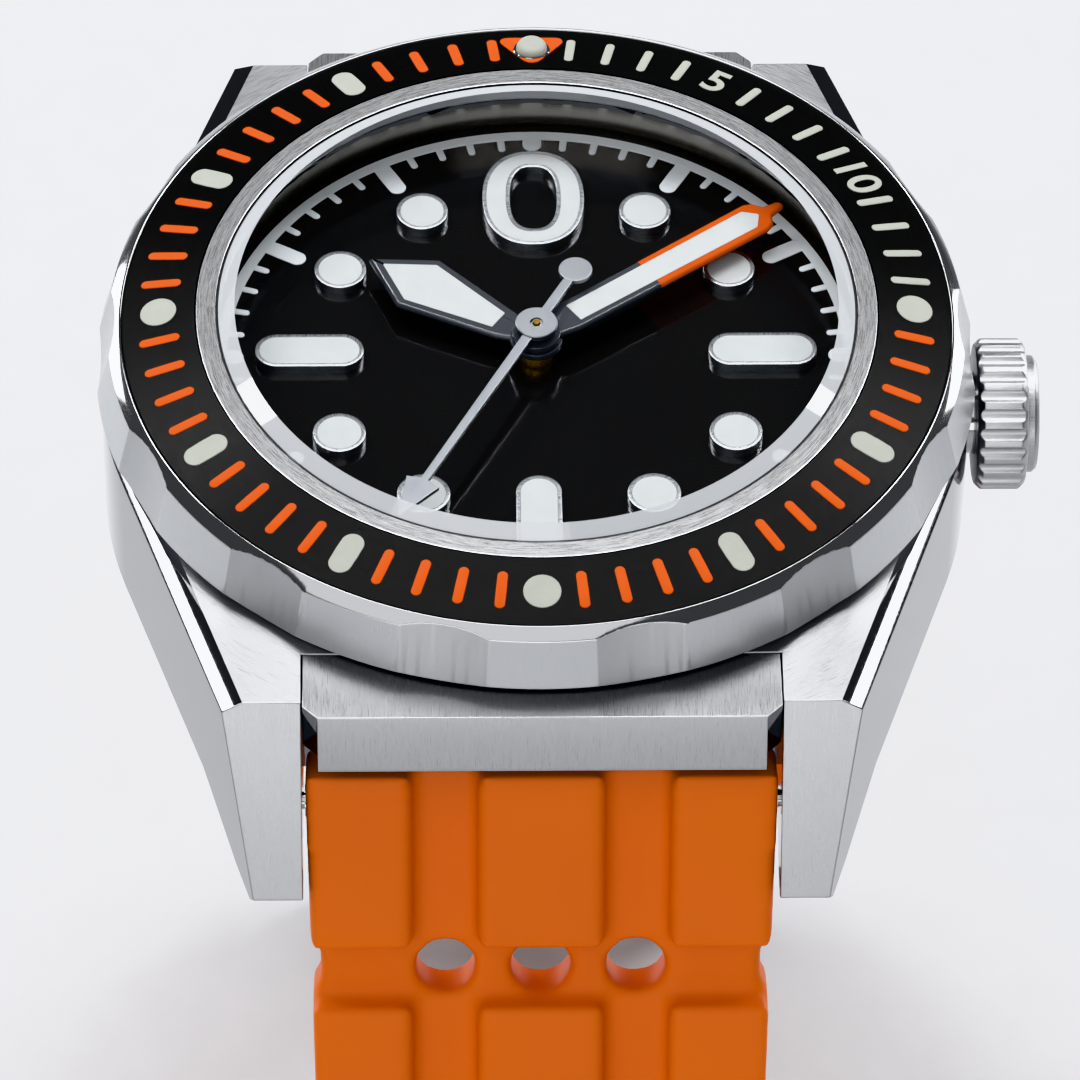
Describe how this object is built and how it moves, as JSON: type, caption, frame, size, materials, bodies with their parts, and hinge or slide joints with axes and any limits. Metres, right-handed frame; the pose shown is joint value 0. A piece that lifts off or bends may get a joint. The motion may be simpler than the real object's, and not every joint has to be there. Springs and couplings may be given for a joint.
{
  "type": "dive watch",
  "caption": "Round steel dive watch with a turning timing bezel, luminous hands, side crown, mechanical movement and ribbed rubber strap with a pin buckle.",
  "frame": {"origin": "centre of the case back's outer face", "axes": "+Z out through the dial, +Y to 12 o'clock, +X to the crown at 3 o'clock"},
  "size_m": [0.0446, 0.0711, 0.0803],
  "materials": {
    "brushed_steel": "satin brushed, polished bevels",
    "polished_steel": "polished",
    "black_steel": "fine circular brushing, black coated",
    "dial_lacquer": "gloss lacquer",
    "hand_paint": "dark and orange enamel",
    "lume": "matt luminous paint",
    "sapphire": "clear polished",
    "orange_rubber": "satin moulded",
    "seal_rubber": "matt",
    "plated_brass": "rhodium plated, striped",
    "brass": "satin",
    "tempered_steel": "polished",
    "ruby": "polished",
    "tungsten": "satin"
  },
  "bodies": {
    "case": {"mid_case": "brushed_steel", "lug_block_6": "brushed_steel", "lug_block_12": "brushed_steel", "case_back": "brushed_steel", "case_back_gasket": "seal_rubber", "crown_tube": "brushed_steel", "crystal": "sapphire", "crystal_gasket": "seal_rubber", "rehaut_ring": "brushed_steel", "dial": "dial_lacquer", "hour_markers": "polished_steel", "marker_lume": "lume", "bezel_spring": "polished_steel", "bezel_gasket": "seal_rubber", "movement_ring": "plated_brass", "mainplate": "plated_brass", "train_bridge": "plated_brass", "balance_cock": "plated_brass", "jewels": "ruby", "movement_screws": "tempered_steel", "hairspring": "tempered_steel", "rotor_bearing": "tempered_steel", "spring_bars": "polished_steel"},
    "bezel": {"bezel_ring": "brushed_steel", "bezel_insert": "black_steel", "bezel_pearl": "lume"},
    "winding_works": {"sliding_pinion": "tempered_steel", "winding_pinion": "tempered_steel"},
    "crown_and_stem": {"crown": "brushed_steel", "crown_gasket": "seal_rubber", "stem": "polished_steel"},
    "minute_work": {"minute_hand": "hand_paint", "minute_hand_lume": "lume", "cannon_pinion": "brass"},
    "hour_work": {"hour_hand": "hand_paint", "hour_hand_lume": "lume", "hour_wheel": "brass"},
    "minute_wheel_body": {"minute_wheel": "brass"},
    "seconds_work": {"seconds_hand": "polished_steel", "seconds_wheel": "brass"},
    "third_body": {"third_wheel": "brass"},
    "centre_body": {"centre_wheel": "brass"},
    "barrel_body": {"barrel": "brass"},
    "escape_body": {"escape_wheel": "brass"},
    "pallet_body": {"pallet_fork": "tempered_steel"},
    "balance_body": {"balance_wheel": "brass"},
    "rotor_body": {"rotor": "tungsten"},
    "strap_6_body": {"strap_6": "orange_rubber"},
    "strap_12_body": {"strap_12": "orange_rubber", "fixed_keeper": "orange_rubber"},
    "buckle_body": {"buckle": "polished_steel", "buckle_bar": "polished_steel"},
    "tongue_body": {"tongue": "polished_steel"},
    "free_keeper_body": {"free_keeper": "orange_rubber"}
  },
  "joints": [
    {"name": "bezel_turn", "type": "hinge", "parent": "case", "child": "bezel", "pos_m": [0, 0, 0.0107], "axis": [0, 0, 1], "continuous": true},
    {"name": "crown_turn", "type": "hinge", "parent": "case", "child": "winding_works", "pos_m": [0.0103, 0, 0.00563], "axis": [1, 0, 0], "continuous": true},
    {"name": "crown_pull", "type": "slide", "parent": "winding_works", "child": "crown_and_stem", "axis": [1, 0, 0], "range_m": [0, 0.002]},
    {"name": "minute_turn", "type": "hinge", "parent": "case", "child": "minute_work", "pos_m": [0, 0, 0.0112], "axis": [0, 0, -1], "continuous": true},
    {"name": "hour_turn", "type": "hinge", "parent": "case", "child": "hour_work", "pos_m": [0, 0, 0.0108], "axis": [0, 0, -1], "continuous": true},
    {"name": "minute_wheel_turn", "type": "hinge", "parent": "case", "child": "minute_wheel_body", "pos_m": [0.00271, -0.00098, 0.0082], "axis": [0, 0, -1], "continuous": true},
    {"name": "seconds_turn", "type": "hinge", "parent": "case", "child": "seconds_work", "pos_m": [0, 0, 0.0118], "axis": [0, 0, -1], "continuous": true},
    {"name": "third_turn", "type": "hinge", "parent": "case", "child": "third_body", "pos_m": [0.0025, 0.00433, 0.005], "axis": [0, 0, -1], "continuous": true},
    {"name": "centre_turn", "type": "hinge", "parent": "case", "child": "centre_body", "pos_m": [0, 0, 0.005], "axis": [0, 0, -1], "continuous": true},
    {"name": "barrel_turn", "type": "hinge", "parent": "case", "child": "barrel_body", "pos_m": [-0.00509, 0.00294, 0.005], "axis": [0, 0, -1], "continuous": true},
    {"name": "escape_turn", "type": "hinge", "parent": "case", "child": "escape_body", "pos_m": [0.0025, -0.00433, 0.005], "axis": [0, 0, -1], "continuous": true},
    {"name": "pallet_rock", "type": "hinge", "parent": "case", "child": "pallet_body", "pos_m": [0.0006, -0.00595, 0.0055], "axis": [0, 0, -1], "range_deg": [-5, 5]},
    {"name": "balance_swing", "type": "hinge", "parent": "case", "child": "balance_body", "pos_m": [-0.0022, -0.007, 0.0045], "axis": [0, 0, -1], "range_deg": [-270, 270], "stiffness_Nm_per_rad": 0.000001},
    {"name": "rotor_turn", "type": "hinge", "parent": "case", "child": "rotor_body", "pos_m": [0, 0, 0.002], "axis": [0, 0, -1], "continuous": true},
    {"name": "strap_6_swing", "type": "hinge", "parent": "case", "child": "strap_6_body", "pos_m": [0, -0.0209, 0.0019], "axis": [-1, 0, 0], "range_deg": [0, 60]},
    {"name": "strap_12_swing", "type": "hinge", "parent": "case", "child": "strap_12_body", "pos_m": [0, 0.0209, 0.0019], "axis": [1, 0, 0], "range_deg": [0, 60]},
    {"name": "buckle_swing", "type": "hinge", "parent": "strap_12_body", "child": "buckle_body", "pos_m": [0, 0.03085, -0.0554], "axis": [1, 0, 0], "range_deg": [-30, 40]},
    {"name": "tongue_swing", "type": "hinge", "parent": "buckle_body", "child": "tongue_body", "pos_m": [0, 0.03085, -0.0554], "axis": [1, 0, 0], "range_deg": [0, 60]},
    {"name": "keeper_slide", "type": "slide", "parent": "strap_12_body", "child": "free_keeper_body", "axis": [0, -0.078, -0.997], "range_m": [-0.0022, 0.0012]}
  ],
  "couplings": [
    {"joint": "hour_turn", "follows": "minute_turn", "ratio": 0.083333},
    {"joint": "minute_wheel_turn", "follows": "minute_turn", "ratio": -0.33333},
    {"joint": "third_turn", "follows": "seconds_turn", "ratio": -0.13333},
    {"joint": "centre_turn", "follows": "seconds_turn", "ratio": 0.016667},
    {"joint": "barrel_turn", "follows": "seconds_turn", "ratio": -0.0027778},
    {"joint": "escape_turn", "follows": "seconds_turn", "ratio": -10}
  ]
}
